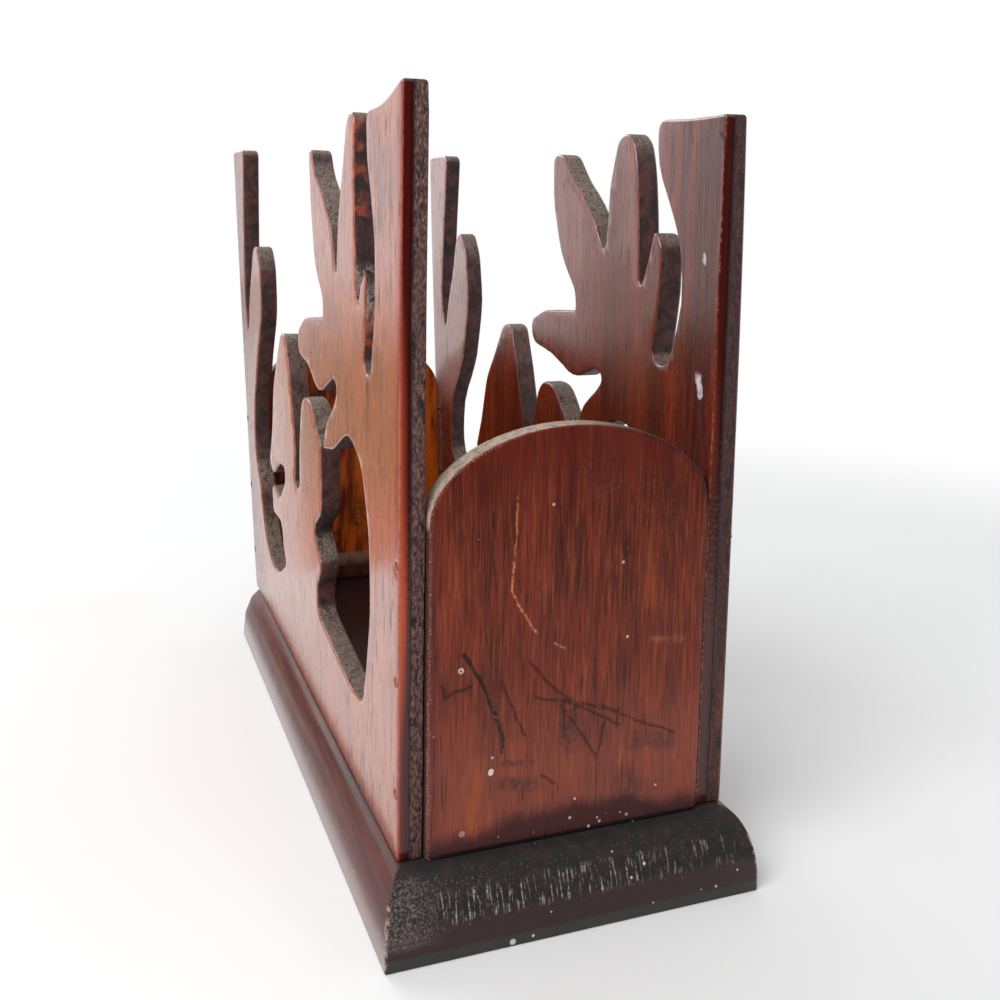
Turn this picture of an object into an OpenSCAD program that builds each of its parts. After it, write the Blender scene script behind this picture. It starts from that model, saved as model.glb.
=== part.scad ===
// Upright napkin holder: two fret-sawn side panels and two arched end panels on a moulded base board.
// Sizes are in millimetres. The origin is on the table, under the middle of the base.
// X runs across the holder, Y along it from the near end to the far end, Z up.

/* [Side panels] */
// Height of the side panels above the base
panel_h = 175; // [170:1:230]
// How far the near top corner stands above that height on the left panel, and below it on the right
corner_skew = 2; // [0:0.5:4]
// Length of the side panels
panel_l = 210; // [205:1:260]
// Thickness of the side panels
panel_t = 6; // [4:0.5:9]
// Height of the solid rail below the window
rail_h = 24; // [20:1:28]
// Width of the solid post between the near end and the window
near_post_w = 25; // [20:1:28]
// Width of the far post where the sawn slot comes closest to the far end
far_post_w = 10; // [7:0.5:14]
// Clear width for the napkins, between the side panels
room_w = 73; // [50:1:140]

/* [End panels] */
// Thickness of the end panels
end_t = 6; // [4:0.5:9]
// Height of the end panels at the crown of the arch
end_h = 101; // [80:1:140]
// Rise of the arch from its springing to its crown
arch_rise = 21.5; // [8:0.5:40]
// How far the end panels stand out past the ends of the side panels
end_proud = 1.5; // [0:0.1:2.5]
// Gap between each edge of an end panel and the side panel next to it
end_fit = 0.4; // [0.1:0.1:0.8]

/* [Base board] */
// Thickness of the base board
base_t = 19; // [17:0.5:30]
// How far the base reaches out past the faces of the side panels
side_overhang = 6; // [3:0.5:20]
// How far the base reaches out past the ends of the side panels
end_overhang = 11; // [5:0.5:25]
// Height of the rounded part of the base's edge
edge_round = 16; // [4:0.5:16]
// Width of the flat ledge between the rounding and the panels
edge_ledge = 0.5; // [0:0.1:2]

/* [Nails through the base] */
// Diameter of the nail's shank
nail_d = 1.6; // [1:0.1:2.5]
// Length of the nail with its head
nail_l = 32; // [24:1:36]
// Diameter of the nail's head
nail_head_d = 3.6; // [3:0.1:5]
// Thickness of the nail's head
nail_head_t = 0.8; // [0.5:0.1:1.5]
// Number of nails into each side panel
nails_per_side = 4; // [2:1:6]
// Distance of the outer nails from the ends of the side panels
nail_from_end = 20; // [12:1:40]
// Distance between the two nails into each end panel
end_nail_spacing = 40; // [15:1:45]

/* [Pins through the side panels] */
// Diameter of the pin's shank
pin_d = 1; // [0.8:0.1:1.2]
// Length of the pin with its head
pin_l = 20; // [12:1:25]
// Diameter of the pin's head
pin_head_d = 1.6; // [1.4:0.1:2.2]
// Thickness of the pin's head
pin_head_t = 0.6; // [0.4:0.1:1]
// Number of pins in each corner joint
pins_per_joint = 3; // [2:1:4]
// Height of the lowest pin above the base
pin_foot = 16; // [12:1:24]
// Distance of the highest pin below the springing of the arch
pin_drop = 9.5; // [5:0.5:14]

/* [Setting] */
// Depth of the nail and pin heads below the surface of the wood
head_set = 0.3; // [0.1:0.1:1]

/* [Hidden] */
$fn = 32;

wood_red = [0.45, 0.13, 0.08];
wood_side = [0.62, 0.33, 0.22];
wood_dark = [0.22, 0.12, 0.12];
steel = [0.55, 0.55, 0.56];

body_w = room_w + 2 * panel_t;
base_w = body_w + 2 * side_overhang;
base_l = panel_l + 2 * end_overhang;
near_y = -panel_l / 2;
springing = end_h - arch_rise;
// Middle of the length on which an end panel lies between the side panels
pin_lap = (end_t - end_proud) / 2;
pin_pitch = (springing - pin_drop - pin_foot) / (pins_per_joint - 1);
nail_pitch = (panel_l - 2 * nail_from_end) / (nails_per_side - 1);
// Largest turn between two points of a rounded corner, in degrees
turn_step = 15;
// Part of an edge that the rounding of one of its corners may use
corner_share = 0.49;

function unit(v) = v / norm(v);

// Points of the arc that rounds the corner at b, between its neighbours a and c
function corner_arc(a, b, c, radius) =
    let (
        u = unit(a - b),
        v = unit(c - b),
        half = acos(u * v) / 2,
        longest = corner_share * min(norm(a - b), norm(c - b)),
        reach = min(radius / tan(half), longest),
        centre = b + unit(u + v) * reach / cos(half),
        from = b + u * reach - centre,
        to = b + v * reach - centre,
        start = atan2(from.y, from.x),
        turn = (atan2(to.y, to.x) - start + 540) % 360 - 180,
        steps = max(1, ceil(abs(turn) / turn_step))
    )
    [for (i = [0 : steps])
        let (angle = start + turn * i / steps)
        centre + norm(from) * [cos(angle), sin(angle)]];

// Outline with its corners rounded: each corner is [x, y, radius], and a radius of 0 leaves it sharp
function rounded(corners) =
    let (n = len(corners), flat = [for (p = corners) [p.x, p.y]])
    [for (i = [0 : n - 1])
        let (radius = corners[i].z)
        each radius > 0
            ? corner_arc(flat[(i + n - 1) % n], flat[i], flat[(i + 1) % n], radius)
            : [flat[i]]];

// The fretwork's outline, in stretches that follow each other from the near foot over the top to the
// far foot. Corners are [distance from the near end, height above the foot, radius]. What crowns the
// panel is placed from its top, and what stands at its far end from that end.
top = panel_h;
far = panel_l;

function near_post(corner_rise) = [
    [0, 0, 0], [0, top + corner_rise, 1], [13, top - 2, 30], [28, top - 2.5, 3],
    [27.5, top - 14, 20], [18, top - 33, 25], [16, top - 48, 25], [23, top - 65, 6], [31, top - 64, 4]
];
short_finger = [[28, top - 45, 30], [27, top - 35, 4], [30, top - 30, 2], [38, top - 47, 1]];
tall_finger = [
    [39, top - 25, 30], [40.5, top - 2.5, 5], [48.5, top - 2.5, 6], [51, top - 14, 20],
    [56, top - 31, 20], [57.5, top - 41, 1]
];
leaf = [
    [63, top - 29, 15], [75, top - 17.5, 15], [83, top - 7.5, 6], [90, top - 7, 4],
    [88.5, top - 23, 25], [83, top - 40, 20], [73, top - 49, 8], [73, top - 54, 1.5]
];
thumb = [
    [97, top - 56, 12], [107, top - 61, 5], [106, top - 68, 5], [93, top - 70, 12],
    [80, top - 77, 12], [62, top - 70, 5], [57, top - 72, 3]
];
hook = [[61, 98, 12], [71, 91, 12], [75, 83, 1], [63, 85, 10], [47, 92.5, 12]];
window = [
    [near_post_w + 8, 88, 20], [near_post_w + 1, 70, 25], [near_post_w, 52, 30],
    [near_post_w + 4, rail_h + 12, 20], [near_post_w + 8, rail_h + 1, 5], [near_post_w + 20, rail_h, 12],
    [70, rail_h + 4, 20], [86, rail_h + 7, 4], [86, 39, 4], [79, 47, 3], [90, 56, 3], [79, 63, 5],
    [78, 72, 12], [78, 83, 6]
];
low_lobe = [[91, 94.5, 12], [103, 95, 8], [108, 78, 30], [109, 64, 4], [118, 62, 4], [114, 76, 20]];
low_leaf = [
    [121, 98, 20], [127, 111, 6], [134, 111, 6], [149, 92, 20], [154, 76, 25], [162, 62, 3],
    [155, 58.5, 5], [142, 65, 6], [133, 65, 3], [133.5, 60.5, 3]
];
bank = [
    [144, 52.5, 6], [159, 55, 3], [158, 44, 3], [142, 44, 5], [140, 36, 6], [136, 31, 2]
];
far_gap = [
    [152, rail_h - 1, 20], [166, rail_h - 1, 20], [far - 31, rail_h + 7, 20], [far - 26, 48, 15],
    [far - 18, 58, 15], [far - 19, 76, 30]
];
far_lobe = [
    [far - 32, 99, 30], [far - 43, top - 60, 20], [far - 43, top - 42, 12], [far - 37, top - 33.5, 6],
    [far - 30, top - 35.5, 8], [far - 18, top - 57, 30], [far - far_post_w - 3.5, top - 70.5, 1]
];
far_post = [
    [far - far_post_w, top - 57, 20], [far - far_post_w - 3, top - 35, 30],
    [far - far_post_w - 8, top, 3], [far, top, 1.5], [far, 0, 0]
];

function fretwork(corner_rise) =
    concat(near_post(corner_rise), short_finger, tall_finger, leaf, thumb, hook, window, low_lobe,
           low_leaf, bank, far_gap, far_lobe, far_post);

// Half of an ellipse, from its right end over its top to its left end
function half_ellipse(half_width, rise) =
    [for (angle = [0 : 5 : 180]) [half_width * cos(angle), rise * sin(angle)]];

// Cross-section of the base, with both top edges rounded inwards by the given reach
module base_section(width, reach) {
    corner = [for (angle = [0 : 7.5 : 90]) [reach * cos(angle), edge_round * sin(angle)]];
    right = [for (p = corner) [width / 2 - reach + p.x, base_t - edge_round + p.y]];
    left = [for (i = [len(right) - 1 : -1 : 0]) [-right[i].x, right[i].y]];
    polygon(concat([[-width / 2, 0], [width / 2, 0]], right, left));
}

// A round wire with a flat head, which points up from the origin
module nail(shank_d, length, head_d, head_t) {
    cylinder(d = head_d, h = head_t);
    cylinder(d = shank_d, h = length);
}

// The hole that such a nail fills, with the pit above its set head
module nail_hole(shank_d, length, head_d, head_t) {
    nail(shank_d, length, head_d, head_t);
    translate([0, 0, -2 * head_set])
        cylinder(d = head_d, h = 2 * head_set + head_t / 2);
}

// Puts its child at each nail through the base, with its head down
module at_base_nails() {
    for (side = [-1, 1], i = [0 : nails_per_side - 1])
        translate([side * (room_w + panel_t) / 2, near_y + nail_from_end + i * nail_pitch, head_set])
            children();
    for (end = [-1, 1], side = [-1, 1])
        translate([side * end_nail_spacing / 2, end * (panel_l / 2 + end_proud - end_t / 2), head_set])
            children();
}

// Puts its child at each corner pin, which points inwards from the outer face of a side panel
module at_corner_pins() {
    for (side = [-1, 1], end = [-1, 1], i = [0 : pins_per_joint - 1])
        translate([side * (body_w / 2 - head_set), end * (panel_l / 2 - pin_lap),
                   base_t + pin_foot + i * pin_pitch])
            rotate([0, -side * 90, 0])
                children();
}

module base_nail() {
    nail(nail_d, nail_l, nail_head_d, nail_head_t);
}

module corner_pin() {
    nail(pin_d, pin_l, pin_head_d, pin_head_t);
}

module base_nail_holes() {
    at_base_nails()
        nail_hole(nail_d, nail_l, nail_head_d, nail_head_t);
}

module corner_pin_holes() {
    at_corner_pins()
        nail_hole(pin_d, pin_l, pin_head_d, pin_head_t);
}

module side_panel(inner_x, corner_rise) {
    color(wood_side)
        difference() {
            translate([inner_x, near_y, base_t])
                rotate([90, 0, 90])
                    linear_extrude(panel_t)
                        polygon(rounded(fretwork(corner_rise)));
            base_nail_holes();
            corner_pin_holes();
        }
}

module end_panel(outer_y) {
    half_width = room_w / 2 - end_fit;
    arch = [for (p = half_ellipse(half_width, arch_rise)) p + [0, springing]];
    color(wood_red)
        difference() {
            translate([0, outer_y + end_t, base_t])
                rotate([90, 0, 0])
                    linear_extrude(end_t)
                        polygon(concat([[-half_width, 0], [half_width, 0]], arch));
            base_nail_holes();
            corner_pin_holes();
        }
}

module base_board() {
    color(wood_dark)
        difference() {
            intersection() {
                translate([0, base_l / 2, 0])
                    rotate([90, 0, 0])
                        linear_extrude(base_l)
                            base_section(base_w, side_overhang - edge_ledge);
                translate([-base_w / 2, 0, 0])
                    rotate([90, 0, 90])
                        linear_extrude(base_w)
                            base_section(base_l, end_overhang - edge_ledge - end_proud);
            }
            base_nail_holes();
        }
}

module left_side_panel() {
    side_panel(-room_w / 2 - panel_t, corner_skew);
}

module right_side_panel() {
    side_panel(room_w / 2, -corner_skew);
}

module near_end_panel() {
    end_panel(near_y - end_proud);
}

module far_end_panel() {
    end_panel(panel_l / 2 + end_proud - end_t);
}

module base_nails() {
    color(steel)
        at_base_nails()
            base_nail();
}

module corner_pins() {
    color(steel)
        at_corner_pins()
            corner_pin();
}

base_board();
left_side_panel();
right_side_panel();
near_end_panel();
far_end_panel();
base_nails();
corner_pins();
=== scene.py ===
"""Looks of an old upright napkin holder: fret-sawn sides and arched ends on a moulded base board."""

import math

import bpy
from mathutils import Matrix, Vector
from mathutils.kdtree import KDTree


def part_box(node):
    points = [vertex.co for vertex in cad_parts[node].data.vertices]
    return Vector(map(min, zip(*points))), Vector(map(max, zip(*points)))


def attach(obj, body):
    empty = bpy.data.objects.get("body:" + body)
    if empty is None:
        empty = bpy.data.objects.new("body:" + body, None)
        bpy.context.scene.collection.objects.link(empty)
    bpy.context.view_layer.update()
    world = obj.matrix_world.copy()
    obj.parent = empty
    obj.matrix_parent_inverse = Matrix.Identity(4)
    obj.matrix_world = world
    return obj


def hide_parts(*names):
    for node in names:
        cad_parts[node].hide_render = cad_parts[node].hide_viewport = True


MM = 0.001

# The frame's axes, as a place in a vector
SIDEWAYS, ALONG, UP = 0, 1, 2

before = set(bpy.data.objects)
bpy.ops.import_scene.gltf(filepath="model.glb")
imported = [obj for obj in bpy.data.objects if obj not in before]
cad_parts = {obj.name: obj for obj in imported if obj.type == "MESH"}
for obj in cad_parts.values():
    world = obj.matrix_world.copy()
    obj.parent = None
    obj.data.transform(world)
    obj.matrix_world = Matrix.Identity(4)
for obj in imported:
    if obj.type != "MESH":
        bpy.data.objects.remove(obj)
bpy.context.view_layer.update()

# ---- Sizes read from the frame ------------------------------------------------------------------

base_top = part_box("base_board")[1].z
left_low, left_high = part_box("left_side_panel")
right_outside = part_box("right_side_panel")[1].x
panel_height = left_high.z - left_low.z

# ---- How the boards have worn -------------------------------------------------------------------

# Arrises: how far they are rounded, in how many facets, and from what angle between two faces on. Faces
# that meet at less than the last angle are shaded as one smooth surface.
SIDE_ARRIS = 0.8 * MM
END_ARRIS = 0.7 * MM
BASE_ARRIS = 0.4 * MM
ARRIS_FACETS = 3
ARRIS_ANGLE = math.radians(50)
SMOOTH_ANGLE = math.radians(35)

# Points that are closer than this are one point, and faces that are flatter than this are one face
SAME_PLACE = 0.002 * MM
SAME_FACE = math.radians(0.5)

# Boards are cut across this often, so that they can bend, and wear is measured up to this far in from
# their outline
SLICE = 3 * MM
EDGE_REACH = 12 * MM

# Saw marks on the sawn edges: how large and deep they are, and where between the noise's lowest and
# highest values the plain surface lies, so that most marks go inwards
SAW_MARK_SIZE = 2.5 * MM
SAW_MARK_DEPTH = 0.3 * MM
SAW_MARK_LEVEL = 0.9

# The old joints have given way a little, so the upright panels lean and bow. Each lean and bow is
# measured at the top. The right panel is swollen at its near end, most of all at the foot, and the
# near end panel has shrunk.
FAR_LEAN = -5.0 * MM
NEAR_LEAN = 0.8 * MM
LEFT_FAR_BOW = -0.95 * MM
RIGHT_SWELL = 1.4 * MM
NEAR_SHRINK = 0.6 * MM

# The lean changes from the left panel's to the right one's over this width. The cage that bends the
# boards is this much longer than the side panels, and has this many steps along and up.
LEAN_CHANGE = 60 * MM
CAGE_SPARE = 4 * MM
CAGE_STEPS = (40, 34)

# The base's far left corner is knocked and worn round, about a middle and in this many cuts. Each ring
# is a cone: a radius with its height, twice, in millimetres.
CORNER_MIDDLE = (-34.5, 99.5)
CORNER_CUTS = 6
CORNER_RINGS = [
    ((14, 0), (14, 19)),
    ((14, 2), (13.2, 9)),
    ((13.2, 9), (10.8, 15)),
    ((10.8, 15), (6.8, 19)),
]

# The left panel's far lower corner is worn round too, in cuts that are turned this far down, in degrees
FOOT_RADIUS = 4 * MM
FOOT_TURNS = (18, 45, 72)

# Places in a side panel are measured from its near end and above its foot, in millimetres. This is half
# of its length.
HALF_PANEL = 105

# The left panel's finger nearest the near post is broken off. It lies between these heights, and between
# this place and a far side that slants towards the near end, so much for each millimetre above its root.
FINGER_HEIGHTS = (129, 147)
FINGER_NEAR = 22
FINGER_FAR = 38.4
FINGER_SLANT = 0.23
FINGER_ROOT = 128

# The break goes through this place, distance from the near end and height, and faces this way
BREAK_PLACE = (32, 133)
BREAK_FACING = (0.4, 0.35, 1)

# The side panels were sawn from one stack, but the blade wandered, so no two lobes are quite alike.
# Each line is: distance from the near end, height above the foot, reach along and reach up of the
# shift, and the shift along and up.
LEFT_SHIFTS = [
    (105, 176, 60, 90, -1.5, 0),
    (214, 176, 16, 70, 4.0, 0),
    (187, 170, 7, 45, -2.0, 0),
    (174, 141, 14, 20, 0, -2.0),
    (46, 175, 8, 12, 0, 1.2),
    (51, 172, 5, 8, 1.6, 0),
    (49, 176, 10, 15, -5.0, 0),
    (90, 160, 9, 34, -3.0, 0),
    (76, 168, 8, 9, 4.5, -2.5),
    (73, 172, 7, 7, 2.8, -2.5),
    (200, 176, 9, 20, 0, -0.8),
    (57.5, 135, 5, 10, 0, -3.0),
    (38, 129, 5, 12, -1.8, -5.0),
    (31, 134, 6, 8, 0, -2.2),
    (15, 128, 9, 26, 5.0, 0),
]
RIGHT_SHIFTS = [
    (105, 176, 60, 90, 1.5, 0),
    (86, 150, 12, 26, 3.8, 2.2),
    (72, 122, 9, 12, 3.0, 0),
    (70, 152, 8, 12, 0, 2.0),
    (57.5, 134, 5, 9, 0, 5.5),
    (53, 164, 6, 18, 4.6, 0),
    (40, 174, 5, 8, 2.4, -1.5),
    (40, 150, 5, 18, -0.6, 0),
    (27, 166, 9, 20, 3.0, 1.8),
    (30, 143, 8, 8, 0, 1.5),
    (26, 126, 5, 16, -2.0, 0),
    (106, 114, 12, 10, 2.4, 1.6),
    (82, 102, 7, 7, 0, 3.0),
    (64, 95, 6, 8, 2.5, 0),
    (128, 110, 10, 14, -0.8, 2.0),
    (98, 95, 12, 10, -1.2, 2.0),
    (155, 85, 8, 22, 1.8, 0),
    (170, 139, 12, 24, 5.0, 4.0),
    (180, 90, 9, 26, -5.0, 0),
    (188, 165, 6, 24, -2.2, 0),
    (212, 160, 8, 60, 2.4, 0),
]


# ---- Small helpers ------------------------------------------------------------------------------

def srgb(red, green, blue):
    """A colour as a picture shows it, 0 to 255, made linear for a shader."""
    def linear(value):
        value /= 255
        return value / 12.92 if value <= 0.04045 else ((value + 0.055) / 1.055) ** 2.4
    return (linear(red), linear(green), linear(blue), 1.0)


def deselect_all():
    for thing in bpy.context.selected_objects:
        thing.select_set(False)


def make_active(thing):
    deselect_all()
    thing.select_set(True)
    bpy.context.view_layer.objects.active = thing


def enter_edit_mode(thing):
    make_active(thing)
    bpy.ops.object.mode_set(mode="EDIT")


def leave_edit_mode():
    bpy.ops.object.mode_set(mode="OBJECT")


# ---- Boards -------------------------------------------------------------------------------------

def board_blank(name, node):
    """A copy of one of the frame's nodes, merged into clean faces, ready to be worked."""
    blank = bpy.data.objects.new(name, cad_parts[node].data.copy())
    bpy.context.scene.collection.objects.link(blank)
    blank.data.materials.clear()
    enter_edit_mode(blank)
    bpy.ops.mesh.select_all(action="SELECT")
    bpy.ops.mesh.remove_doubles(threshold=SAME_PLACE)
    bpy.ops.mesh.dissolve_limited(angle_limit=SAME_FACE)
    leave_edit_mode()
    return blank


def ease_edges(board, width):
    """Rounds the board's arrises, as handling does."""
    make_active(board)
    bevel = board.modifiers.new("arris", "BEVEL")
    bevel.width = width
    bevel.segments = ARRIS_FACETS
    bevel.limit_method = "ANGLE"
    bevel.angle_limit = ARRIS_ANGLE
    bevel.use_clamp_overlap = False
    bevel.miter_outer = "MITER_ARC"
    bpy.ops.object.modifier_apply(modifier=bevel.name)


def slice_board(board, axis):
    """Cuts the board's faces across one axis again and again, so that it can be bent and worn."""
    places = [vertex.co[axis] for vertex in board.data.vertices]
    start, end = min(places), max(places)
    count = max(1, round((end - start) / SLICE))
    normal = Vector((0, 0, 0))
    normal[axis] = 1
    enter_edit_mode(board)
    for index in range(1, count):
        bpy.ops.mesh.select_all(action="SELECT")
        place = Vector((0, 0, 0))
        place[axis] = start + (end - start) * index / count
        bpy.ops.mesh.bisect(plane_co=place, plane_no=normal)
    leave_edit_mode()


def mark_edges(board, axis):
    """Stores how far each point is from the outline in millimetres, whether it is on a sawn edge, and
    how deep it is in the board, from 0 to 1 along the axis that the board is thin on."""
    points = board.data.vertices
    sawn_faces = [face for face in board.data.polygons if abs(face.normal[axis]) < 0.5]
    outline = {index for face in sawn_faces for index in face.vertices}
    tree = KDTree(len(outline))
    for index in outline:
        place = points[index].co.copy()
        place[axis] = 0
        tree.insert(place, index)
    tree.balance()
    low = min(point.co[axis] for point in points)
    high = max(point.co[axis] for point in points)
    distance = board.data.attributes.new("edge_distance", "FLOAT", "POINT")
    sawn = board.data.attributes.new("sawn", "FLOAT", "POINT")
    depth = board.data.attributes.new("depth", "FLOAT", "POINT")
    sawn_points = board.vertex_groups.new(name="sawn")
    for index, point in enumerate(points):
        place = point.co.copy()
        place[axis] = 0
        distance.data[index].value = min(EDGE_REACH, tree.find(place)[2]) / MM
        sawn.data[index].value = 1.0 if index in outline else 0.0
        depth.data[index].value = (point.co[axis] - low) / (high - low)
    sawn_points.add(sorted(outline), 1.0, "REPLACE")


def roughen(board):
    """Leaves saw marks and dents on the sawn edges."""
    make_active(board)
    marks = bpy.data.textures.new("saw marks", "CLOUDS")
    marks.noise_scale = SAW_MARK_SIZE
    marks.noise_depth = 2
    dents = board.modifiers.new("saw marks", "DISPLACE")
    dents.texture = marks
    dents.texture_coords = "LOCAL"
    dents.vertex_group = "sawn"
    dents.strength = SAW_MARK_DEPTH
    dents.mid_level = SAW_MARK_LEVEL
    bpy.ops.object.modifier_apply(modifier=dents.name)
    bpy.data.textures.remove(marks)


def settle(board, shifts=(), shrink=0.0):
    """Leans and bows an upright board with the others, and shifts the places of its pattern."""
    across = [vertex.co.x for vertex in board.data.vertices]
    left, right = min(across), max(across)
    length = left_high.y - left_low.y + CAGE_SPARE
    steps_along, steps_up = CAGE_STEPS
    cage_data = bpy.data.lattices.new("cage")
    cage_data.points_u, cage_data.points_v, cage_data.points_w = 3, steps_along + 1, steps_up + 1
    cage_data.interpolation_type_u = "KEY_LINEAR"
    cage_data.interpolation_type_v = "KEY_LINEAR"
    cage_data.interpolation_type_w = "KEY_LINEAR"
    cage = bpy.data.objects.new("cage", cage_data)
    bpy.context.scene.collection.objects.link(cage)
    # A cage's own points are one unit apart, so its scale is the distance between two of them.
    pitch = Vector(((right - left) / 2, length / steps_along, panel_height / steps_up))
    cage.location = ((left + right) / 2, 0, base_top + panel_height / 2)
    cage.scale = pitch
    bpy.context.view_layer.update()
    for point in cage_data.points:
        place = point.co * pitch + cage.location
        on_right_outside = place.x > right_outside - 1 * MM
        on_left = min(1.0, max(0.0, 0.5 - place.x / LEAN_CHANGE))
        along = place.y / length + 0.5
        height = (place.z - base_top) / panel_height
        lean = height * (along * FAR_LEAN + (1 - along) * NEAR_LEAN)
        lean += on_left * along * LEFT_FAR_BOW * (1 - (1 - height) ** 3)
        lean += on_right_outside * (1 - along) * RIGHT_SWELL * (1 - height ** 4)
        lean -= (1 - on_left) * shrink
        move = Vector((lean, 0, 0))
        for at, over_foot, reach_along, reach_up, shift_along, shift_up in shifts:
            off_along = (place.y / MM + HALF_PANEL - at) / reach_along
            off_up = (height * panel_height / MM - over_foot) / reach_up
            share = math.exp(-off_along ** 2 - off_up ** 2)
            move += Vector((0, share * shift_along * MM, share * shift_up * MM))
        point.co_deform = point.co + Vector((move.x / pitch.x, move.y / pitch.y, move.z / pitch.z))
    make_active(board)
    bend = board.modifiers.new("settle", "LATTICE")
    bend.object = cage
    bpy.ops.object.modifier_apply(modifier=bend.name)
    bpy.data.objects.remove(cage)


def break_finger(board):
    """Breaks the left panel's finger off, and closes the board again where it was."""
    enter_edit_mode(board)
    bpy.ops.mesh.select_all(action="DESELECT")
    leave_edit_mode()
    low, high = FINGER_HEIGHTS
    for face in board.data.polygons:
        from_near = face.center.y / MM + HALF_PANEL
        above_foot = (face.center.z - base_top) / MM
        far_side = FINGER_FAR - FINGER_SLANT * (above_foot - FINGER_ROOT)
        face.select = low < above_foot < high and FINGER_NEAR < from_near < far_side
    bpy.context.tool_settings.mesh_select_mode = (False, False, True)
    enter_edit_mode(board)
    from_near, above_foot = BREAK_PLACE
    place = (left_high.x, (from_near - HALF_PANEL) * MM, base_top + above_foot * MM)
    bpy.ops.mesh.bisect(plane_co=place, plane_no=BREAK_FACING, clear_outer=True)
    bpy.ops.mesh.select_all(action="SELECT")
    bpy.ops.mesh.remove_doubles(threshold=SAME_PLACE)
    bpy.ops.mesh.select_all(action="SELECT")
    bpy.ops.mesh.fill_holes(sides=0)
    leave_edit_mode()


def wear_far_foot(board):
    """Rounds the far lower corner of the left panel, which stands over the base's worn corner."""
    enter_edit_mode(board)
    middle = Vector((0, left_high.y - FOOT_RADIUS, base_top + FOOT_RADIUS))
    for turn in FOOT_TURNS:
        out = Vector((0, math.cos(math.radians(turn)), -math.sin(math.radians(turn))))
        place = middle + out * FOOT_RADIUS
        bpy.ops.mesh.select_all(action="SELECT")
        bpy.ops.mesh.bisect(plane_co=place, plane_no=out, clear_outer=True, use_fill=True)
    leave_edit_mode()


def round_far_corner(board):
    """Rounds the base's far left corner, ring by ring."""
    enter_edit_mode(board)
    for (low_radius, low), (high_radius, high) in CORNER_RINGS:
        rise = (low_radius - high_radius) / (high - low)
        for index in range(CORNER_CUTS):
            turn = math.radians(90 * (index + 0.5) / CORNER_CUTS)
            out = Vector((-math.cos(turn), math.sin(turn), 0))
            place = Vector((CORNER_MIDDLE[0], CORNER_MIDDLE[1], low)) + out * low_radius
            bpy.ops.mesh.select_all(action="SELECT")
            bpy.ops.mesh.bisect(plane_co=place * MM, plane_no=out + Vector((0, 0, rise)),
                                clear_outer=True, use_fill=True)
    leave_edit_mode()


def finish_board(board, node, material):
    """Gives a board its finish, hangs it under the root body, and hides the frame's node that it stands
    for.
    """
    make_active(board)
    board.vertex_groups.clear()
    bpy.ops.object.shade_smooth_by_angle(angle=SMOOTH_ANGLE)
    board.data.materials.append(material)
    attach(board, "root")
    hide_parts(node)


# ---- Shader sums --------------------------------------------------------------------------------

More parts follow.
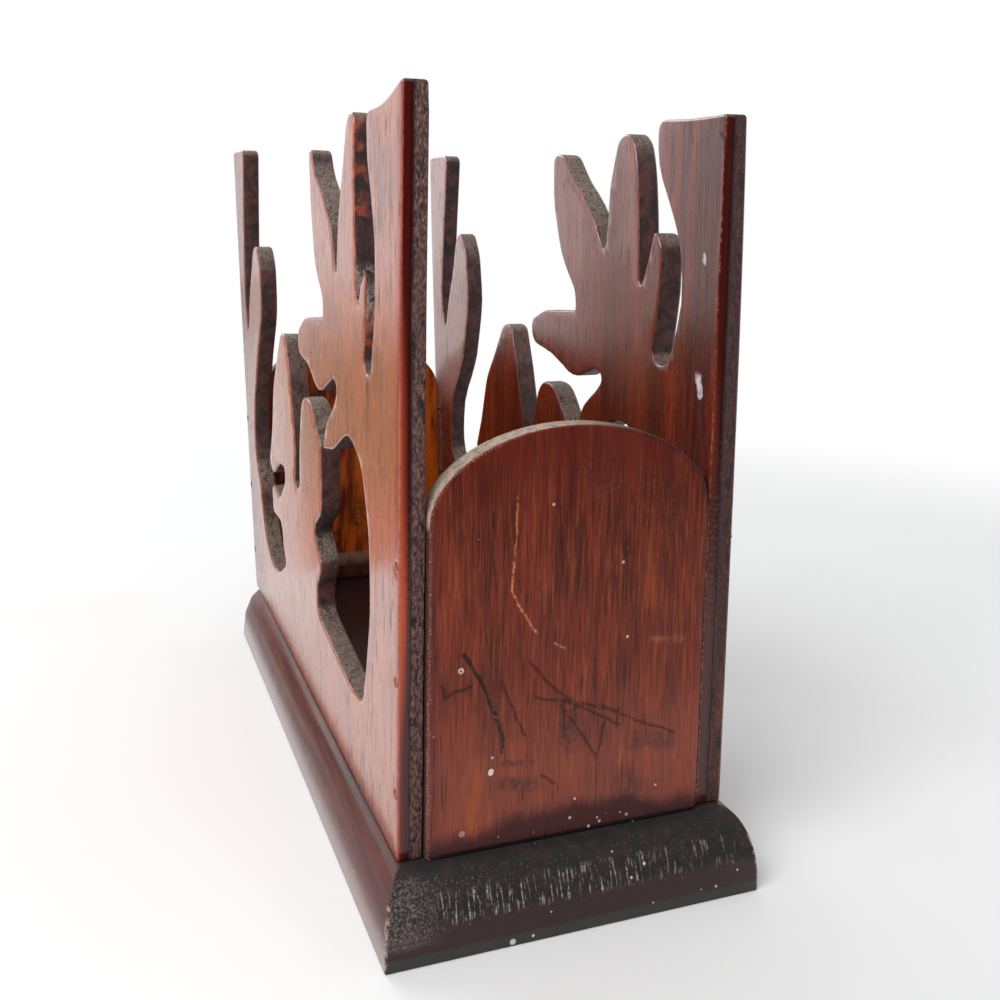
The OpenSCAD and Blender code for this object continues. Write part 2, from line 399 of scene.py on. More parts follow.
class Value:
    """A socket of a material that takes part in sums, and adds other nodes to its material."""

    def __init__(self, tree, socket=None):
        self.tree = tree
        self.socket = socket

    def node(self, kind, settings=None, sockets=None, output=0):
        """Adds a node: its settings are set first, then its sockets get numbers, colours or links."""
        made = self.tree.nodes.new(kind)
        for name, setting in (settings or {}).items():
            setattr(made, name, setting)
        for name, given in (sockets or {}).items():
            if isinstance(given, Value):
                self.tree.links.new(given.socket, made.inputs[name])
            else:
                made.inputs[name].default_value = given
        return Value(self.tree, made.outputs[output])

    def output(self, name):
        """Another output of the node that this value comes from."""
        return Value(self.tree, self.socket.node.outputs[name])

    def math(self, operation, *values):
        return self.node("ShaderNodeMath", {"operation": operation}, dict(enumerate(values)))

    def __add__(self, other):
        return self.math("ADD", self, other)

    __radd__ = __add__

    def __sub__(self, other):
        return self.math("SUBTRACT", self, other)

    def __rsub__(self, other):
        return self.math("SUBTRACT", other, self)

    def __mul__(self, other):
        return self.math("MULTIPLY", self, other)

    __rmul__ = __mul__

    def __lt__(self, other):
        return self.math("LESS_THAN", self, other)

    def __gt__(self, other):
        return self.math("GREATER_THAN", self, other)

    def least(self, other):
        return self.math("MINIMUM", self, other)

    def most(self, other):
        return self.math("MAXIMUM", self, other)

    def step(self, low, high):
        """0 below low and 1 above high, smooth between them; low may be the greater of the two."""
        settings = {"interpolation_type": "SMOOTHSTEP"}
        return self.node("ShaderNodeMapRange", settings,
                         {"Value": self, "From Min": low, "From Max": high})

    def band(self, low, high, blur):
        """1 from low to high, fading over blur outside them."""
        return self.step(low - blur, low) * self.step(high + blur, high)

    def size(self):
        """How large a number is, whichever its sign."""
        return self.math("ABSOLUTE", self)

    def stretch(self, x, y, z):
        return self.node("ShaderNodeVectorMath", {"operation": "MULTIPLY"}, {0: self, 1: (x, y, z)})

    def shift(self, other):
        return self.node("ShaderNodeVectorMath", {"operation": "ADD"}, {0: self, 1: other})

    def apart(self, name):
        """One of the three parts of a place: X, Y or Z."""
        return self.node("ShaderNodeSeparateXYZ", None, {0: self}, name)

    def noise(self, size, detail=2.0, roughness=0.5, distortion=0.0):
        """Cloudy noise whose lumps are about size across, in the units of the place."""
        sockets = {"Vector": self, "Scale": 1 / size, "Detail": detail,
                   "Roughness": roughness, "Distortion": distortion}
        return self.node("ShaderNodeTexNoise", None, sockets)

    def specks(self, cell, radius, share):
        """Small round spots, one in some of the cells, where share of 1 is one in each."""
        spot = self.node("ShaderNodeTexVoronoi", None, {"Vector": self, "Scale": 1 / cell})
        chance = self.node("ShaderNodeSeparateColor", None, {0: spot.output("Color")})
        return spot.step(radius / cell, 0.6 * radius / cell) * (chance < share)

    def warped(self, size, amount):
        """This flat place pushed about in lumps of size, by up to about half of amount each way."""
        across = (self.noise(size, 2) - 0.5) * amount
        upwards = (self.shift((57, 31, 0)).noise(size, 2) - 0.5) * amount
        return self.shift(self.node("ShaderNodeCombineXYZ", None, {"X": across, "Y": upwards}))

    def distance(self, point):
        settings = {"operation": "DISTANCE"}
        return self.node("ShaderNodeVectorMath", settings, {0: self, 1: point}, "Value")

    def blend(self, under, upper, mask):
        """One colour laid over another where the mask says."""
        return self.node("ShaderNodeMix", {"data_type": "RGBA"}, {0: mask, 6: under, 7: upper}, 2)

    def tint(self, colour, mask):
        """This colour with another one laid over it where the mask says."""
        return self.blend(self, colour, mask)

    def line(self, points):
        """How far a place is from a line through the points, all of them flat: x, y and 0."""
        nearest = None
        for start, end in zip(points, points[1:]):
            run = Vector((end[0] - start[0], end[1] - start[1], 0))
            here = self.shift((-start[0], -start[1], 0))
            settings = {"operation": "DOT_PRODUCT"}
            dot = self.node("ShaderNodeVectorMath", settings, {0: here, 1: run}, "Value")
            settings = {"operation": "MULTIPLY", "use_clamp": True}
            share = self.node("ShaderNodeMath", settings, {0: dot, 1: 1 / run.length_squared})
            foot = self.node("ShaderNodeVectorMath", {"operation": "SCALE"}, {0: run, "Scale": share})
            length = here.distance(foot)
            nearest = length if nearest is None else nearest.least(length)
        return nearest

    def marks(self, rows):
        """The strongest of several lines. Each row is a line's points, the distances at which it begins
        and is full, and its strength."""
        strongest = None
        for points, begins, full, strength in rows:
            mark = self.line(points).step(begins, full) * strength
            strongest = mark if strongest is None else strongest.most(mark)
        return strongest


def new_material(name, coat_roughness):
    """A material, its shader, and object coordinates in millimetres to start its sums from."""
    material = bpy.data.materials.new(name)
    material.use_nodes = True
    tree = material.node_tree
    shader = tree.nodes["Principled BSDF"]
    shader.inputs["Coat Roughness"].default_value = coat_roughness
    place = Value(tree).node("ShaderNodeTexCoord", None, None, "Object").stretch(1000, 1000, 1000)
    return material, shader, place


def attribute(place, name):
    return place.node("ShaderNodeAttribute", {"attribute_name": name}, None, "Fac")


def connect(shader, **sockets):
    for name, value in sockets.items():
        value.tree.links.new(value.socket, shader.inputs[name.replace("_", " ")])


def add_bump(shader, height):
    """Height is in millimetres."""
    bump = height.node("ShaderNodeBump", None, {"Height": height, "Distance": MM})
    connect(shader, Normal=bump)


# ---- Finishes -----------------------------------------------------------------------------------

def side_finish():
    """Shellac on plywood sides: upright grain on the faces, and a dark rough ply on the sawn edges."""
    ground_dark = srgb(64, 11, 5)
    ground_light = srgb(122, 38, 13)
    painted_reflection_pink = srgb(198, 106, 72)
    light_rib = srgb(158, 74, 34)
    dark_rib = srgb(30, 5, 4)
    dark_fibre = srgb(44, 12, 10)
    purple_streak = srgb(90, 34, 30)
    dark_streak = srgb(44, 10, 12)
    red_border = srgb(150, 46, 30)
    purple_cloud = srgb(84, 26, 30)
    orange_cloud = srgb(150, 60, 16)
    painted_pink_sheen = srgb(162, 108, 100)
    low_shade = srgb(40, 5, 3)
    far_sheen = srgb(206, 170, 162)
    pore_brown = srgb(26, 8, 7)
    worn_arris_highlight = srgb(122, 40, 22)
    dent_brown = srgb(40, 16, 18)
    chip_white = srgb(206, 196, 204)
    ply_dark = srgb(40, 20, 20)
    ply_light = srgb(116, 78, 72)
    ply_pale = srgb(164, 134, 108)
    pit_black = srgb(8, 4, 4)
    ply_right = srgb(56, 20, 19)
    ply_right_rib = srgb(122, 58, 44)
    red_ply_dark = srgb(70, 10, 6)
    red_ply_light = srgb(176, 68, 34)
    red_ply_right = srgb(62, 24, 21)
    red_ply_highlight = srgb(206, 128, 96)
    red_ply_seam = srgb(24, 6, 5)
    glue_black = srgb(10, 4, 4)
    fret_dark = srgb(36, 11, 10)
    fret_light = srgb(88, 42, 36)
    fret_orange = srgb(164, 68, 30)
    fret_dust = srgb(146, 128, 112)
    fret_ring = srgb(16, 7, 6)
    fresh_break = srgb(168, 154, 146)

    material, shader, place = new_material("shellacked side wood", 0.16)
    sideways, along, up = (place.apart(name) for name in "XYZ")
    depth = attribute(place, "depth")

    # The pins' holes are finished as the faces are, not as the sawn edges
    pinned = along.size().band(101.6, 103.9, 0.3) * (up < 118)
    sawn = attribute(place, "sawn").step(0.6, 0.95) * (1 - pinned)
    from_edge = attribute(place, "edge_distance")
    facing_up = place.node("ShaderNodeNewGeometry", None, None, "Normal").apart("Z")
    right = sideways > 0
    left_outside = (sideways < 0) * (depth < 0.2)
    right_inside = right * (depth < 0.2)

    # Upright grain. The noises share one drawn-out place, because a material can hold few at a time.
    drawn = place.stretch(0.3, 1, 0.055)
    figure = drawn.noise(12, 3, 0.55, 0.7)
    ribs = drawn.noise(1.0, 3, 0.6)
    fibres = drawn.noise(0.4, 2, 0.65)
    pores = drawn.noise(0.5, 1, 0.5).step(0.64, 0.73)
    tall = place.stretch(1, 1, 0.4)
    clouds = place.noise(24, 3, 0.5)
    broad = drawn.noise(2.6, 3, 0.65)

    face = place.blend(ground_dark, ground_light, figure.step(0.32, 0.7))
    # Painted reflection: the left panel's outer face is tinted pale pink, most towards its near end, for
    # the bright room mirrored in its gloss
    face = face.tint(painted_reflection_pink, left_outside * (0.66 - 0.46 * along.step(50, 100)))
    face = face.tint(light_rib, ribs.step(0.52, 0.72) * (0.35 + 0.25 * left_outside))
    face = face.tint(dark_rib, ribs.step(0.46, 0.28) * 0.75)
    face = face.tint(dark_fibre, fibres.step(0.5, 0.3) * 0.6)
    face = face.tint(purple_streak, left_outside * broad.step(0.47, 0.34) * 0.8)
    face = face.tint(dark_streak, right_inside * broad.step(0.5, 0.36) * 0.6)
    face = face.tint(red_border, left_outside * along.step(-98, -104) * 0.6)
    face = face.tint(purple_cloud, clouds.step(0.5, 0.7) * up.step(110, 150) * 0.5)
    middle = clouds.step(0.5, 0.66) * up.band(50, 90, 20) * 0.25 * right_inside
    face = face.tint(orange_cloud, middle)
    # Painted sheen: pale pink high on the right panel's inside, away from its near end
    upper = right_inside * up.step(112, 140) * along.step(-82, -60) * 0.35
    face = face.tint(painted_pink_sheen, upper)
    lower = right_inside * up.step(118, 95) * along.step(50, 20) * 0.4
    face = face.tint(low_shade, lower)
    far = right_inside * up.step(88, 108) * along.step(52, 74) * 0.4
    face = face.tint(far_sheen, far)
    face = face.tint(pore_brown, pores * 0.8)
    # Lighter along the arrises: shellac worn thin there, and a painted highlight on them
    worn = (1 - from_edge.step(0.4, 1.8)) * place.noise(3, 3).step(0.45, 0.62)
    face = face.tint(worn_arris_highlight, worn * 0.7)
    dents = tall.noise(2.2, 2, 0.5).step(0.68, 0.74) * up.step(130, 165)
    face = face.tint(dent_brown, dents * 0.5)

    # Two places on the right panel's inside where the finish has chipped down to white
    flat = place.node("ShaderNodeCombineXYZ", None, {"X": along, "Y": up})
    warped = flat.warped(1.6, 1.6)
    chip = right_inside * warped.marks([
        ([(-97.8, 128.6), (-98.5, 126.2), (-98.9, 124.4)], 1.6, 0.8, 1.0),
        ([(-98.4, 158.4), (-98.6, 156.8)], 0.8, 0.3, 0.8),
    ])
    face = face.tint(chip_white, chip * tall.noise(0.9, 2).step(0.36, 0.5))

    # The near edges show two plies; the fretwork is sawn through and stained darker
    near_edge = along.step(-103.5, -104.5)
    border = depth + (tall.noise(4, 3, 0.6) - 0.5) * 0.18
    rough = border.step(0.43, 0.46)
    fuzz = tall.noise(0.5, 5, 0.72)
    pits = tall.noise(1.7, 4, 0.65).step(0.57, 0.66)
    rough_ply = place.blend(ply_dark, ply_light, fuzz.step(0.38, 0.6))
    worn_ply = fuzz.step(0.56, 0.68) * (0.3 + 0.6 * up.step(150, 170))
    rough_ply = rough_ply.tint(ply_pale, worn_ply)
    rough_ply = rough_ply.tint(pit_black, pits * 0.95)
    rough_ply = rough_ply.tint(ply_right, right * 0.7)
    ribbed = right * up.step(90, 45) * ribs.step(0.42, 0.62) * 0.75
    rough_ply = rough_ply.tint(ply_right_rib, ribbed)
    # The red ply is lighter towards its left side and lower down: its own tone, with a painted highlight
    # beside the arris
    ply_tone_and_highlight = drawn.noise(7, 2, 0.6) + up.step(150, 60) * 0.1 - depth * 0.8
    red_ply = place.blend(red_ply_dark, red_ply_light, ply_tone_and_highlight.step(0.3, 0.62))
    red_ply = red_ply.tint(red_ply_right, right * (0.3 + 0.6 * up.step(140, 95)))
    # A broken painted highlight along the red ply's arris
    red_ply = red_ply.tint(red_ply_highlight, depth.step(0.1, 0.02) * fuzz.step(0.5, 0.6) * 0.7)
    red_ply = red_ply.tint(red_ply_seam, depth.band(0.34, 0.38, 0.03) * 0.5)
    straight = red_ply.tint(rough_ply, rough)
    straight = straight.tint(glue_black, border.band(0.44, 0.48, 0.03) * 0.85)
    lumps = place.noise(5, 3, 0.6, 1.0)
    rings = place.math("PINGPONG", lumps * 26, 1.0).step(0.55, 0.95)
    fret = place.blend(fret_dark, fret_light, (lumps + 0.4 * fuzz).step(0.55, 0.85))
    orange = lumps.step(0.52, 0.62) * depth.step(0.7, 0.3)
    orange = orange * up.step(110, 140) * along.step(-30, -60) * (1 - right) * 0.8
    fret = fret.tint(fret_orange, orange)
    dusty = facing_up.step(0.2, 0.7)
    fret = fret.tint(fret_dust, dusty * fuzz.step(0.36, 0.58) * 0.8)
    fret = fret.tint(fret_ring, rings * (0.2 + 0.6 * dusty))
    stub = flat.distance((-70, 147, 0)).step(10, 6) * (sideways < 0)
    fret = fret.tint(fresh_break, stub * fuzz.step(0.42, 0.54) * 0.85)
    fret = fret.tint(pit_black, pits * 0.6)
    edge = fret.tint(straight, near_edge)

    rough_here = near_edge * rough + (1 - near_edge) * (0.55 + 0.45 * fuzz)
    finish = face.tint(edge, sawn)
    face_gloss = 0.2 + 0.14 * place.noise(9, 3) + 0.3 * pores + 0.3 * chip
    gloss = face_gloss * (1 - sawn) + sawn * (0.24 + 0.5 * rough_here)
    face_relief = ribs * 0.14 + fibres * 0.06 - pores * 0.1 - dents * 0.08 + chip * 0.1
    sawn_relief = rough_here * (fuzz * 0.5 - pits * 0.7) + place.noise(1.1, 2) * 0.12
    connect(shader, Base_Color=finish, Roughness=gloss)
    coat = 0.12 + up.step(100, 138) * (0.2 + 1.2 * ribs) * (0.7 + 0.3 * along.step(-88, -76))
    coat = coat * (1 - left_outside) + left_outside * (0.5 + 0.5 * ribs - 0.25 * along.step(50, 100))
    coat = coat * (1 - sawn * rough_here.most(near_edge * 0.85))
    connect(shader, Coat_Weight=coat * (1 - pores * 0.8))
    add_bump(shader, face_relief * (1 - sawn) + sawn * sawn_relief)
    return material


def end_finish():
    """Shellac on the end panels. The near one has the scratches, stains and specks of long use."""
    ground_dark = srgb(88, 26, 12)
    ground_light = srgb(120, 42, 17)
    light_rib = srgb(164, 80, 42)
    dark_rib = srgb(40, 9, 6)
    light_fibre = srgb(176, 92, 56)
    dark_fibre = srgb(32, 8, 6)
    purple_cloud = srgb(78, 24, 26)
    dark_top_painted = srgb(88, 14, 4)
    floor_reflection_pale = srgb(150, 78, 62)
    pore_brown = srgb(24, 6, 5)
    inside_orange = srgb(190, 88, 16)
    inside_dust = srgb(140, 112, 96)
    golden_brown = srgb(170, 82, 28)
    damp_purple = srgb(44, 17, 22)
    seam_shade = srgb(8, 3, 3)
    purple_border = srgb(66, 26, 34)
    smudge_brown = srgb(52, 28, 30)
    cut_brown = srgb(24, 8, 8)
    old_polish = srgb(142, 122, 96)
    scratch_pale = srgb(214, 134, 92)
    paint_white = srgb(222, 206, 196)
    edge_dark = srgb(72, 46, 38)
    edge_light = srgb(112, 86, 74)
    arch_dust_and_highlight = srgb(172, 152, 138)
    side_edge = srgb(40, 16, 12)
    right_edge_shade = srgb(52, 30, 24)
    rim_shade = srgb(20, 6, 5)
    rim_pale = srgb(190, 140, 120)

    material, shader, place = new_material("shellacked end wood", 0.2)
    shader.inputs["Specular IOR Level"].default_value = 0.3
    sideways, along, up = (place.apart(name) for name in "XYZ")
    sawn = attribute(place, "sawn").step(0.6, 0.95)
    from_edge = attribute(place, "edge_distance")

    # The near panel's front, and the far panel's inner face
    front = along < -105.5
    inside_far = (along > 90) * (along < 101.5)

    drawn = place.stretch(1, 0.3, 0.04)
    ribs = drawn.noise(1.0, 3, 0.6)
    fibres = drawn.noise(0.36, 3, 0.75)
    pores = drawn.noise(0.5, 1, 0.5).step(0.64, 0.73)
    tall = place.stretch(1, 0.3, 0.22)
    figure = tall.noise(7, 4, 0.6)
    clouds = place.noise(18, 3, 0.5)

    face = place.blend(ground_dark, ground_light, figure.step(0.36, 0.64))
    face = face.tint(light_rib, ribs.step(0.52, 0.72) * 0.6)
    face = face.tint(dark_rib, ribs.step(0.47, 0.3) * 0.5)
    face = face.tint(light_fibre, fibres.step(0.52, 0.72) * 0.4)
    face = face.tint(dark_fibre, fibres.step(0.5, 0.32) * 0.7)
    face = face.tint(purple_cloud, clouds.step(0.48, 0.66) * 0.32)
    # Painted light: darker and redder towards the top, where little is mirrored, and paler low on the
    # near panel's front, a painted reflection of the floor
    face = face.tint(dark_top_painted, up.step(96, 114) * 0.6)
    face = face.tint(floor_reflection_pale, up.step(62, 34) * 0.42 * front)
    face = face.tint(pore_brown, pores * 0.75)
    face = face.tint(inside_orange, inside_far * figure.step(0.36, 0.56) * 0.8)
    face = face.tint(inside_dust, inside_far * up.band(25.5, 30.5, 0.5) * 0.8)

    flat = place.node("ShaderNodeCombineXYZ", None, {"X": sideways, "Y": up})
    warped = flat.warped(3.2, 1.3)
    broken = place.noise(1.6, 4, 0.7)
    crumbs = place.noise(0.4, 3, 0.7)

    # Places where the polish is thin and golden
    golden = warped.marks([
        ([(-25.0, 41.0), (-24.9, 24.5)], 2.4, 0.2, 1.0),
        ([(-20.5, 31.0), (-20.4, 24.0)], 1.2, 0.1, 0.6),
        ([(21.0, 38.0), (21.3, 31.0)], 1.4, 0.1, 0.45),
        ([(20.5, 92.0), (21.0, 76.0)], 4.0, 0.5, 0.25),
    ])
    face = face.tint(golden_brown, golden * ribs.step(0.3, 0.56) * 0.6)

    # Damp from the base has crept up the foot, highest right of the middle, and the seam below is
    # painted black, as shade in the crack above the base
    peak = flat.distance((16.0, 19.0, 0)).step(11, 1) * 5 + sideways.band(-14, 12, 10) * 3.5
    damp = (up - 8 * figure - peak - 3 * broken).step(20.4, 15.4)
    face = face.tint(damp_purple, damp * 0.85)
    face = face.tint(seam_shade, (up - 0.5 * broken).step(20.2, 19.7) * 0.95)
    face = face.tint(purple_border, sideways.step(-31.5, -35.5) * 0.5)

    smudges = warped.marks([
        ([(-0.6, 51.5), (-0.2, 43.0)], 4.5, 1.0, 1.0),
        ([(-17.0, 40.0), (-9.5, 38.9)], 1.2, 0.2, 1.0),
        ([(-16.8, 34.9), (-10.0, 33.6)], 2.6, 0.6, 1.0),
        ([(16.5, 40.4), (27.5, 39.0)], 3.4, 0.6, 0.8),
        ([(14.0, 31.0), (19.0, 25.5)], 5.0, 1.0, 0.7),
    ])
    face = face.tint(smudge_brown, smudges * broken.step(0.34, 0.6) * 0.7)

    # Dark scratches, one of them a deep gouge with old polish in it
    thin_scratches = [
        [(-10.8, 64.1), (-5.6, 57.7), (1.6, 51.5)],
        [(-9.2, 55.1), (2.1, 52.3), (12.9, 48.8)],
        [(1.6, 51.9), (13.1, 45.1)],
        [(7.2, 51.6), (13.2, 47.8), (21.0, 44.2), (28.1, 41.1)],
        [(-2.5, 52.5), (3.3, 43.9), (7.3, 37.4)],
        [(-17.7, 59.4), (-14.2, 51.4), (-11.9, 46.3)],
        [(12.7, 49.6), (12.2, 44.5)],
        [(9.0, 46.0), (7.0, 37.0)],
        [(-7.2, 35.6), (-4.0, 33.0)],
    ]
    scratches = warped.marks([(points, 0.7, 0.05, 1.0) for points in thin_scratches])
    scratches = scratches * broken.step(0.28, 0.5)
    gouge_line = [(-27.0, 67.8), (-23.9, 62.6), (-21.0, 57.1),
                  (-19.0, 51.2), (-17.3, 46.7), (-17.4, 42.9)]
    gouge = warped.line(gouge_line).step(0.75, 0.2) * broken.step(0.3, 0.42)
    nick_line = [(-32.3, 61.2), (-32.0, 58.2), (-29.2, 59.4), (-25.3, 60.0)]
    nick = warped.line(nick_line).step(0.7, 0.1)
    holes = warped.line([(13.0, 91.0), (13.6, 87.8)]).step(1.0, 0.2) * 0.7

    # Fine wandering lines below the arch
    wandering = (place.noise(1.7, 2, 0.5, 1.5) - 0.5).size().step(0.03, 0.006)
    wandering = wandering * flat.line([(4.0, 108.0), (24.0, 100.0)]).step(11.0, 3.0)
    cuts = (scratches * 0.75).most(gouge).most(nick * 0.8).most(holes).most(wandering * 0.8) * front
    face = face.tint(cut_brown, cuts * 0.85)
    polish = gouge * crumbs.step(0.54, 0.66) * up.step(62, 55) * front * 0.6
    face = face.tint(old_polish, polish)

    # Pale marks: a curved scratch, fine scuffs and specks
    pale = warped.marks([
        ([(-15.3, 88.5), (-15.7, 81.7), (-12.7, 76.4), (-9.3, 70.9)], 0.42, 0.05, 1.0),
        ([(-14.6, 104.0), (-15.0, 90.0)], 0.4, 0.05, 0.6),
        ([(-4.5, 68.0), (-1.5, 66.4)], 0.4, 0.05, 0.6),
        ([(21.5, 66.0), (30.0, 65.0)], 1.6, 0.05, 0.2),
    ])
    face = face.tint(scratch_pale, pale * broken.step(0.34, 0.56) * front * 0.85)
    ring = (flat.distance((-27.9, 64.2, 0)) - 0.5).size().step(0.35, 0.1) * 0.7
    low_ring = flat.distance((-27.3, 24.3, 0)).step(0.9, 0.6) * 0.35
    spots = flat.line([(-20.35, 38.2), (-20.2, 38.6)]).step(0.75, 0.5) * 1.6
    speck_places = [(0.4, 23.3), (15.8, 21.4), (5.5, 20.2), (8.4, 21.0), (23.7, 27.8),
                    (1.6, 28.0), (-19.9, 42.0), (14.6, 67.3), (12.9, 86.0), (-5.6, 101.5)]
    for x, z in speck_places:
        spots = spots.most(flat.distance((x, z, 0)).step(0.5, 0.1))
    dust = place.specks(1.9, 0.3, 0.6) * up.step(25, 21) * sideways.band(-16, 18, 4)
    dust = dust.most(place.specks(5, 0.24, 0.3) * 0.6)
    white = ring.most(low_ring).most(spots).most(dust) * crumbs.step(0.34, 0.5) * front
    face = face.tint(paint_white, white.least(0.9))

    # The edges: pale dust along the arch, with a painted highlight on its left where the light falls,
    # darker down both sides, and painted shade towards the right
    arch = up.step(96.5, 99)
    lit_side = sideways.step(24, -10)
    edge = place.blend(edge_dark, edge_light, broken.step(0.3, 0.7))
    edge = edge.tint(arch_dust_and_highlight, arch * lit_side * (0.35 + 0.65 * broken.step(0.3, 0.6)))
    edge = edge.tint(side_edge, (1 - arch) * 0.7)
    edge = edge.tint(right_edge_shade, sideways.step(2, 30) * 0.8)
    # Along the arris of the near panel's front: a broken painted highlight on the left, and painted
    # shade on the right
    rim = (1 - from_edge.step(0.3, 1.1)) * (1 - sawn) * front
    rim = rim * arch.most(sideways.step(-34.6, -35.2))
    face = face.tint(rim_shade, rim * sideways.step(6, 20) * 0.8)
    face = face.tint(rim_pale, rim * sideways.step(-8, -26) * crumbs.step(0.5, 0.62) * 0.6)
    finish = face.tint(edge, sawn)

    gloss = 0.3 + 0.14 * clouds + 0.25 * pores + 0.25 * sawn + 0.3 * cuts + 0.2 * damp
    connect(shader, Base_Color=finish, Roughness=gloss)
    add_bump(shader, ribs * 0.08 + fibres * 0.08 - pores * 0.08 - gouge * front * 0.3)
    return material


def base_finish():
    """Dark stain on the base board. Its ends are nearly black, and grey with wear and scratches."""
    side_dark = srgb(54, 14, 12)
    side_light = srgb(92, 36, 30)
    side_streak = srgb(34, 8, 8)
    side_floor_reflection = srgb(168, 146, 140)
    enclosed_shade = srgb(16, 3, 2)
    stain_dark = srgb(14, 6, 7)
    stain_light = srgb(38, 22, 22)
    red_band = srgb(46, 12, 16)
    grey_foot = srgb(46, 40, 40)
    grey_wear = srgb(112, 102, 98)
    grey_corner = srgb(126, 116, 112)
    scratch_pale = srgb(172, 166, 156)
    rim_pale = srgb(176, 150, 138)
    paint_white = srgb(214, 208, 200)

    # Half the board's width and length, the slope of the line where the moulding turns the corner, and
    # half the width and length of the place inside the panels
    half_width, half_length = 48.5, 116
    mitre = 9 / 5.5
    inner_width, inner_length = 36.4, 100.4
    material, shader, place = new_material("dark base wood", 0.25)
    sideways, along, up = (place.apart(name) for name in "XYZ")
    from_side = half_width - sideways.size()
    from_end = half_length - along.size()
    past_mitre = from_side * mitre - from_end
    end = past_mitre.step(-0.5, 0.5) * from_end.step(14, 11)
    long_grain = place.stretch(1, 0.06, 1)
    streaks = long_grain.noise(2.2, 4, 0.6)
    fine = long_grain.noise(0.5, 3, 0.6)
    side = place.blend(side_dark, side_light, streaks.step(0.35, 0.68))
    side = side.tint(side_streak, fine.step(0.45, 0.3) * 0.5)
    # Painted reflection of the floor: the board's sides are paler low down
    side = side.tint(side_floor_reflection, up.step(9.5, 2.5) * 0.5)
    # Painted shade on the board's top inside the panels
    enclosed = (sideways.size() < inner_width) * (along.size() < inner_length)
    side = side.tint(enclosed_shade, enclosed * 0.85)

    mottled = place.noise(3.5, 4, 0.65)
    stain = place.blend(stain_dark, stain_light, mottled.step(0.4, 0.7))
    stain = stain.tint(red_band, up.band(3.5, 8.5, 1.5) * 0.7)
    stain = stain.tint(grey_foot, up.step(3.4, 2.6) * 0.8)
    grey = place.noise(0.6, 4, 0.7).step(0.54, 0.7) * up.band(8, 17, 2)
    stain = stain.tint(grey_wear, grey * (0.35 + 0.4 * sideways.step(-10, -40)))
    corner = sideways.step(-32, -44) * up.band(6, 17, 2) * place.noise(0.6, 4, 0.75).step(0.42, 0.62)
    stain = stain.tint(grey_corner, corner * 0.5)
    ribs = place.stretch(1, 0, 0.11).noise(0.62, 2, 0.5).step(0.55, 0.64)
    zone = place.stretch(0.4, 0, 1).noise(4, 2)
    ribs = ribs * (up + 4 * zone).band(11.5, 16.2, 1.4) * sideways.band(-33, 40, 4)
    ribs = ribs * place.noise(0.8, 3, 0.7).step(0.36, 0.55)
    stain = stain.tint(scratch_pale, ribs * (0.4 + 0.35 * sideways.step(40, -5)))
    finish = side.tint(stain, end)

    rim = past_mitre.band(-0.6, 0.6, 0.7) * from_end.step(10, 9)
    rim = rim * place.noise(1.4, 3, 0.7).step(0.45, 0.58) * up.band(2, 14, 1)
    finish = finish.tint(rim_pale, rim * 0.7)
    chips = place.specks(4.5, 0.3, 0.35) * 0.8
    chip_places = [(-17.9, -116, 1.2, 0.9), (-12.8, -116, 1.6, 0.45), (36.3, -116, 3.7, 0.4),
                   (42.5, -115.8, 6.7, 0.35), (16.9, -114.2, 12.6, 0.5), (13.1, -115, 10.2, 0.4)]
    for x, y, z, size in chip_places:
        chips = chips.most(place.distance((x, y, z)).step(size, size * 0.6))
    finish = finish.tint(paint_white, chips * 0.85)
    gloss = 0.36 + 0.2 * place.noise(8, 3) + 0.3 * end * (up.step(8, 11) + 0.3) + 0.3 * ribs * end
    coat = (1 - end) * (0.1 + 0.7 * up.step(12, 5))
    connect(shader, Base_Color=finish, Roughness=gloss, Coat_Weight=coat)
    add_bump(shader, streaks * 0.05 + ribs * end * 0.12 + mottled * 0.1 * end + chips * 0.1)
    return material


def steel_finish():
    """Dull nail steel, brown with old rust in places."""
    steel_grey = srgb(120, 116, 112)
    rust_brown = srgb(96, 56, 36)
    material, shader, place = new_material("nail steel", 0.3)
    rust = place.noise(1.2, 4, 0.65)
    face = place.blend(steel_grey, rust_brown, rust.step(0.45, 0.62))
    shader.inputs["Metallic"].default_value = 0.8
    connect(shader, Base_Color=face, Roughness=0.4 + 0.4 * rust)
    add_bump(shader, rust * 0.05)
    return material


def filler_finish():
    """Stained filler over the pins' heads, almost the colour of the wood around it."""
    filler_dark = srgb(128, 60, 42)
    filler_light = srgb(166, 86, 56)
    material, shader, place = new_material("stained filler", 0.3)
    grains = place.noise(0.5, 4, 0.65)
    shader.inputs["Coat Weight"].default_value = 0.7
    face = place.blend(filler_dark, filler_light, grains.step(0.35, 0.65))
    connect(shader, Base_Color=face, Roughness=0.3 + 0.3 * grains)
    add_bump(shader, grains * 0.06)
    return material


def floor_finish():
    """Pale paint, which runs out into the white of the room."""
    paint_dark = srgb(232, 233, 233)
    paint_light = srgb(240, 241, 241)
    material, shader, place = new_material("pale floor", 0.3)
    tone = place.noise(300, 2)
    face = place.blend(paint_dark, paint_light, tone)
    connect(shader, Base_Color=face, Roughness=0.7 + 0.1 * tone)
    far_off = place.stretch(0.001, 0.001, 0).distance((0, 0, 0))
    seen = place.node("ShaderNodeLightPath", None, None, "Is Camera Ray")
    white = place.node("ShaderNodeEmission", None, {"Color": (1, 1, 1, 1), "Strength": 1.0})
    painted = Value(place.tree, shader.outputs["BSDF"])
    faded = far_off.step(0.34, 0.6) * seen
    both = place.node("ShaderNodeMixShader", None, {0: faded, 1: painted, 2: white})
    place.tree.links.new(both.socket, place.tree.nodes["Material Output"].inputs["Surface"])
    return material


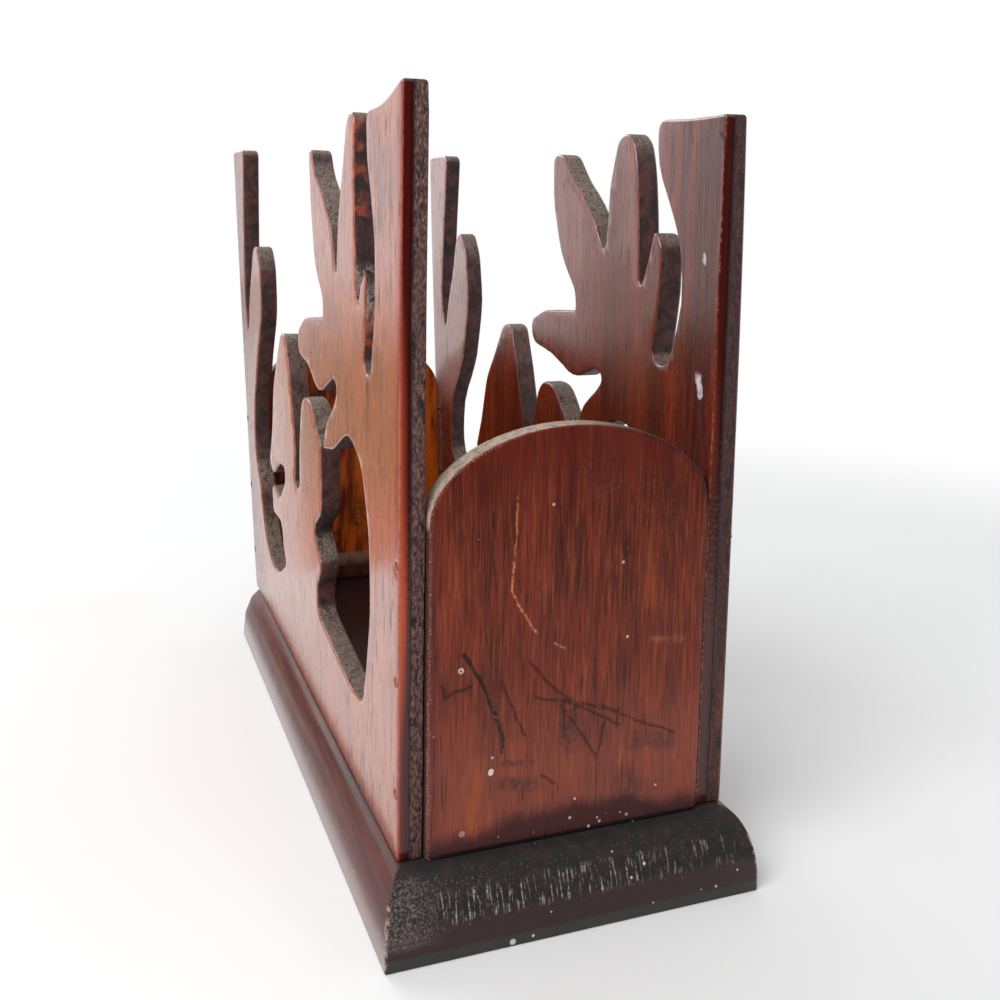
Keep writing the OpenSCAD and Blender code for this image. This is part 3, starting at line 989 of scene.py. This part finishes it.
def card_finish(name, low_colour, high_colour, change, fade):
    """A matt studio card. Its colour changes over one range of heights and fades to white over another,
    both in millimetres."""
    off_white = srgb(244, 236, 232)
    material, shader, place = new_material(name, 0.3)
    shader.inputs["Specular IOR Level"].default_value = 0.0
    tone = (place.apart("Z") + 10 * place.noise(20, 2)).step(*change)
    face = place.blend(low_colour, high_colour, tone)
    connect(shader, Base_Color=face.tint(off_white, place.apart("Z").step(*fade)))
    return material


# ---- Camera, light and floor --------------------------------------------------------------------

def add_camera():
    data = bpy.data.cameras.new("camera")
    data.sensor_width = 36
    data.lens = 39.0
    data.shift_x = 0.0257
    data.shift_y = -0.1234
    place = (-0.1069, -0.3293, 0.1634)
    camera = bpy.data.objects.new("camera", data)
    bpy.context.scene.collection.objects.link(camera)
    turn = Matrix.Rotation(math.radians(-20.07), 4, "Z")
    tilt = Matrix.Rotation(math.radians(90 - 7.55), 4, "X")
    roll = Matrix.Rotation(math.radians(0.65), 4, "Z")
    camera.matrix_world = Matrix.Translation(place) @ turn @ tilt @ roll
    bpy.context.scene.camera = camera


def add_area_light(name, place, size, power):
    """A square lamp that points at the object."""
    data = bpy.data.lights.new(name, "AREA")
    data.shape = "SQUARE"
    data.size = size
    data.energy = power
    lamp = bpy.data.objects.new(name, data)
    bpy.context.scene.collection.objects.link(lamp)
    lamp.location = place
    target = Vector((0, 0, 0.08))
    lamp.rotation_euler = (target - Vector(place)).to_track_quat("-Z", "Y").to_euler()


def light_world():
    """A white room: full white where it is seen or mirrored, and softer as a light."""
    world = bpy.data.worlds.new("white room")
    bpy.context.scene.world = world
    world.use_nodes = True
    tree = world.node_tree
    background = tree.nodes["Background"]
    seen = Value(tree).node("ShaderNodeLightPath", None, None, "Is Camera Ray")
    mirrored = seen.output("Is Glossy Ray").most(seen.output("Is Transmission Ray"))
    strength = 0.6 + 0.4 * seen.most(mirrored)
    background.inputs["Color"].default_value = (1, 1, 1, 1)
    tree.links.new(strength.socket, background.inputs["Strength"])


def add_floor():
    bpy.ops.mesh.primitive_plane_add(size=6, location=(0, 0, 0))
    floor = bpy.context.object
    floor.name = "floor"
    floor.data.materials.append(floor_finish())


def add_card(name, size, place, turn, material):
    """A studio card that is only mirrored in the gloss. It isn't seen, and throws no light or shadow."""
    deselect_all()
    bpy.ops.mesh.primitive_plane_add(size=1, location=place, rotation=turn)
    card = bpy.context.object
    card.name = name
    card.scale = (size[0], size[1], 1)
    bpy.ops.object.transform_apply(location=True, rotation=True, scale=True)
    card.data.materials.append(material)
    card.visible_camera = False
    card.visible_diffuse = False
    card.visible_shadow = False


# ---- Making the object --------------------------------------------------------------------------

bpy.context.scene.view_settings.view_transform = "Standard"
add_camera()
light_world()
add_area_light("window light", place=(-0.7, -0.5, 0.9), size=0.7, power=9)
add_area_light("back light", place=(-0.3, 0.9, 0.9), size=0.8, power=5)

side_wood = side_finish()
end_wood = end_finish()
base_wood = base_finish()

for side, node, shifts in (("left_side_board", "left_side_panel", LEFT_SHIFTS),
                           ("right_side_board", "right_side_panel", RIGHT_SHIFTS)):
    panel = board_blank(side, node)
    ease_edges(panel, SIDE_ARRIS)
    slice_board(panel, UP)
    slice_board(panel, ALONG)
    if side == "left_side_board":
        break_finger(panel)
        wear_far_foot(panel)
    mark_edges(panel, SIDEWAYS)
    roughen(panel)
    settle(panel, shifts)
    finish_board(panel, node, side_wood)

for name, node in (("near_end_board", "near_end_panel"), ("far_end_board", "far_end_panel")):
    panel = board_blank(name, node)
    ease_edges(panel, END_ARRIS)
    slice_board(panel, UP)
    slice_board(panel, SIDEWAYS)
    mark_edges(panel, ALONG)
    settle(panel, shrink=NEAR_SHRINK if name == "near_end_board" else 0.0)
    finish_board(panel, node, end_wood)

board = board_blank("moulded_base", "base_board")
round_far_corner(board)
ease_edges(board, BASE_ARRIS)
finish_board(board, "base_board", base_wood)

pins = board_blank("filled_corner_pins", "corner_pins")
settle(pins)
finish_board(pins, "corner_pins", filler_finish())
nail_steel = steel_finish()
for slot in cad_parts["base_nails"].material_slots:
    slot.material = nail_steel

add_floor()
lying = (0, 0, 0)
upright = (math.pi / 2, 0, 0)
near_black = srgb(12, 10, 10)
dark_card = card_finish("dark card", near_black, near_black, change=(0, 1), fade=(900, 1000))
add_card("dark card in front", (3.0, 1.6), (0.2, -1.15, 0.002), lying, dark_card)
add_card("dark card behind the camera", (3.0, 1.0), (0.2, -1.6, 0.5), upright, dark_card)
warm_pink = srgb(196, 128, 96)
warm_olive = srgb(146, 122, 72)
warm_card = card_finish("warm card", warm_pink, warm_olive, change=(30, 55), fade=(92, 138))
add_card("warm card", (0.22, 0.14), (-0.19, 0.17, 0.07), upright, warm_card)
